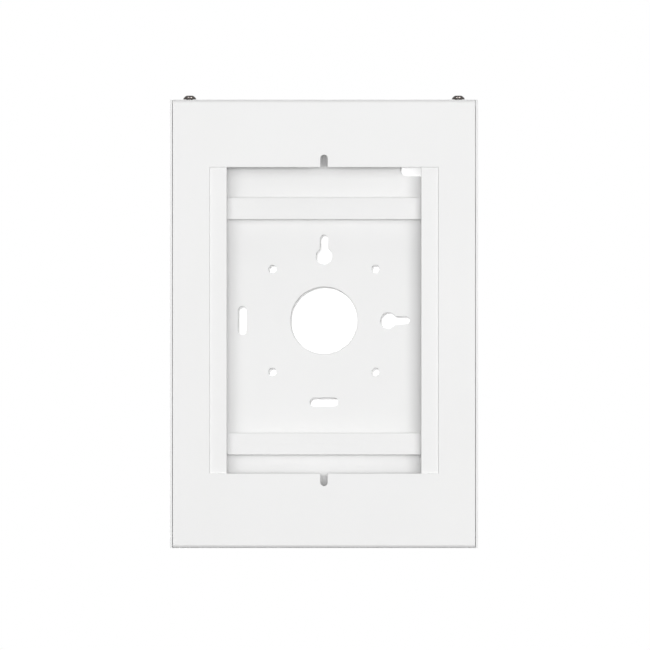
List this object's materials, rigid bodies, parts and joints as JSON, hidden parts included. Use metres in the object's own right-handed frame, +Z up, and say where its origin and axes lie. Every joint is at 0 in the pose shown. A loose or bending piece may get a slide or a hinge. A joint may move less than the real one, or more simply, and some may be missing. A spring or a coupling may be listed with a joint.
{
  "type": "tablet wall mount",
  "caption": "Lockable folded-steel wall box for a tablet, with a tilting window cover, inner bars and strips that hold the tablet, and a wall plate with fixing holes and a cable hole.",
  "frame": {"origin": "centre of the 75 mm wall pattern, on the back plate's rear face", "axes": "+Y into the wall, +Z up, +X to the right of a person who faces the tablet"},
  "size_m": [0.2238, 0.026, 0.3291],
  "materials": {
    "powder_coat": "satin white powder coat on sheet steel",
    "screw_steel": "dark steel, lightly polished",
    "zinc_plate": "zinc-plated steel",
    "foam": "matt black closed-cell foam"
  },
  "bodies": {
    "wall_box": {"back_box": "powder_coat", "crossbar_top": "powder_coat", "crossbar_bottom": "powder_coat", "rivet_nut_left": "zinc_plate", "rivet_nut_right": "zinc_plate", "pivot_rivet_left": "powder_coat", "pivot_rivet_right": "powder_coat"},
    "cover": {"front_cover": "powder_coat", "strip_studs": "zinc_plate", "strip_nuts": "zinc_plate", "side_strip_left": "powder_coat", "side_strip_right": "powder_coat", "foam_pad_left": "foam", "foam_pad_right": "foam", "foam_pad_top_left": "foam", "foam_pad_top_right": "foam", "foam_pad_bottom_left": "foam", "foam_pad_bottom_right": "foam", "rest_block_left": "foam", "rest_block_right": "foam"},
    "screw_left": {"security_screw_left": "screw_steel"},
    "screw_right": {"security_screw_right": "screw_steel"}
  },
  "joints": [
    {"name": "cover_tilt", "type": "hinge", "parent": "wall_box", "child": "cover", "pos_m": [0, -0.013, -0.156], "axis": [1, 0, 0], "range_deg": [0, 75]},
    {"name": "screw_left_lift", "type": "slide", "parent": "wall_box", "child": "screw_left", "axis": [0, 0, 1], "range_m": [0, 0.012]},
    {"name": "screw_right_lift", "type": "slide", "parent": "wall_box", "child": "screw_right", "axis": [0, 0, 1], "range_m": [0, 0.012]}
  ]
}
